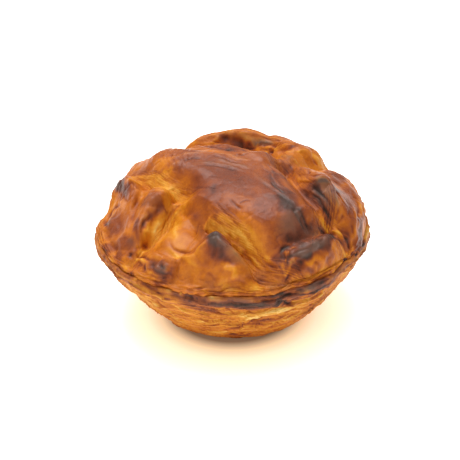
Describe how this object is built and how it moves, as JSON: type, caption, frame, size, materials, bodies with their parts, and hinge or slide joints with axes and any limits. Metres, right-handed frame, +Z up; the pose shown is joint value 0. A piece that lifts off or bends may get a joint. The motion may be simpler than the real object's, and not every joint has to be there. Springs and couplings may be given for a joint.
{
  "type": "chicken pie",
  "caption": "Whole single-serving chicken pie: tapered flaky pastry case under a scored, puffed and curled lid, standing on its flat base.",
  "frame": {"origin": "bottom centre of the whole pie's bounding box, on the table plane", "axes": "+Z up through the lid; -Y towards the front of the picture; +X to the picture's right"},
  "size_m": [0.1162, 0.1152, 0.0652],
  "materials": {
    "baked_case": "dry golden flaky pastry",
    "glazed_lid": "egg-glazed dark brown pastry, satin"
  },
  "bodies": {
    "root": {"pastry_case": "baked_case", "pastry_lid": "glazed_lid"}
  },
  "joints": []
}
